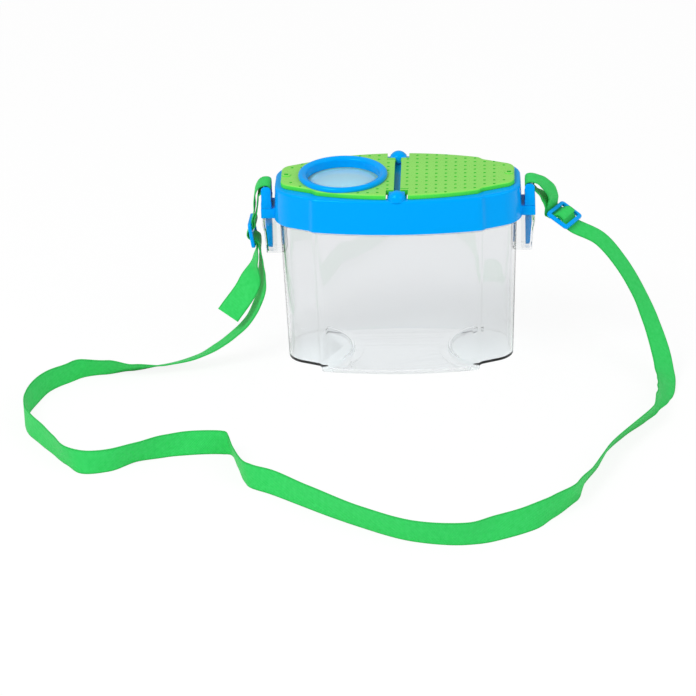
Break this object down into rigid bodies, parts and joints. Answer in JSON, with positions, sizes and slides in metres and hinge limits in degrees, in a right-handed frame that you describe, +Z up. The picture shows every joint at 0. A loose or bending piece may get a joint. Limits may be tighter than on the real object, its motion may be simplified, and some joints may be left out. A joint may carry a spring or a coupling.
{
  "type": "pet keeper",
  "caption": "Clear plastic carrying tub for small creatures, with a collar, hinged vented lid flaps, a magnifier in one flap and an adjustable webbing strap on slide-in clips.",
  "frame": {"origin": "middle of the tub's foot, on the ground", "axes": "+X to the right along the lid's length, +Y to the back, +Z up; the strap lies on the ground in front, toward -Y"},
  "size_m": [0.3999, 0.3069, 0.1257],
  "materials": {
    "clear_tub": "clear, glossy, injection moulded",
    "clear_lens": "clear, polished",
    "blue_plastic": "bright blue, semi-gloss moulded",
    "green_plastic": "light green, slightly translucent, semi-gloss moulded",
    "green_webbing": "woven polypropylene webbing, 15 mm wide"
  },
  "bodies": {
    "tub": {"tub": "clear_tub", "strap_floor_run": "green_webbing", "strap_riser_left_lower": "green_webbing", "strap_riser_right_lower": "green_webbing"},
    "collar": {"collar": "blue_plastic", "strap_riser_left_upper": "green_webbing", "strap_riser_right_upper": "green_webbing"},
    "flap_left": {"vent_flap_left": "green_plastic", "lens_bezel": "blue_plastic", "lens": "clear_lens"},
    "flap_right": {"vent_flap_right": "green_plastic"},
    "clip_left": {"strap_clip_left": "blue_plastic", "slider_left": "blue_plastic", "strap_loop_left": "green_webbing", "strap_tail_left": "green_webbing"},
    "clip_right": {"strap_clip_right": "blue_plastic", "slider_right": "blue_plastic", "strap_loop_right": "green_webbing"}
  },
  "joints": [
    {"name": "collar_lift", "type": "slide", "parent": "tub", "child": "collar", "axis": [0, 0, 1], "range_m": [0, 0.022]},
    {"name": "flap_left_hinge", "type": "hinge", "parent": "collar", "child": "flap_left", "pos_m": [-0.0026, 0, 0.1196], "axis": [0, 1, 0], "range_deg": [0, 75]},
    {"name": "flap_right_hinge", "type": "hinge", "parent": "collar", "child": "flap_right", "pos_m": [0.0026, 0, 0.1196], "axis": [0, -1, 0], "range_deg": [0, 75]},
    {"name": "clip_left_slide", "type": "slide", "parent": "collar", "child": "clip_left", "axis": [0, 0, 1], "range_m": [0, 0.024]},
    {"name": "clip_right_slide", "type": "slide", "parent": "collar", "child": "clip_right", "axis": [0, 0, 1], "range_m": [0, 0.024]}
  ]
}
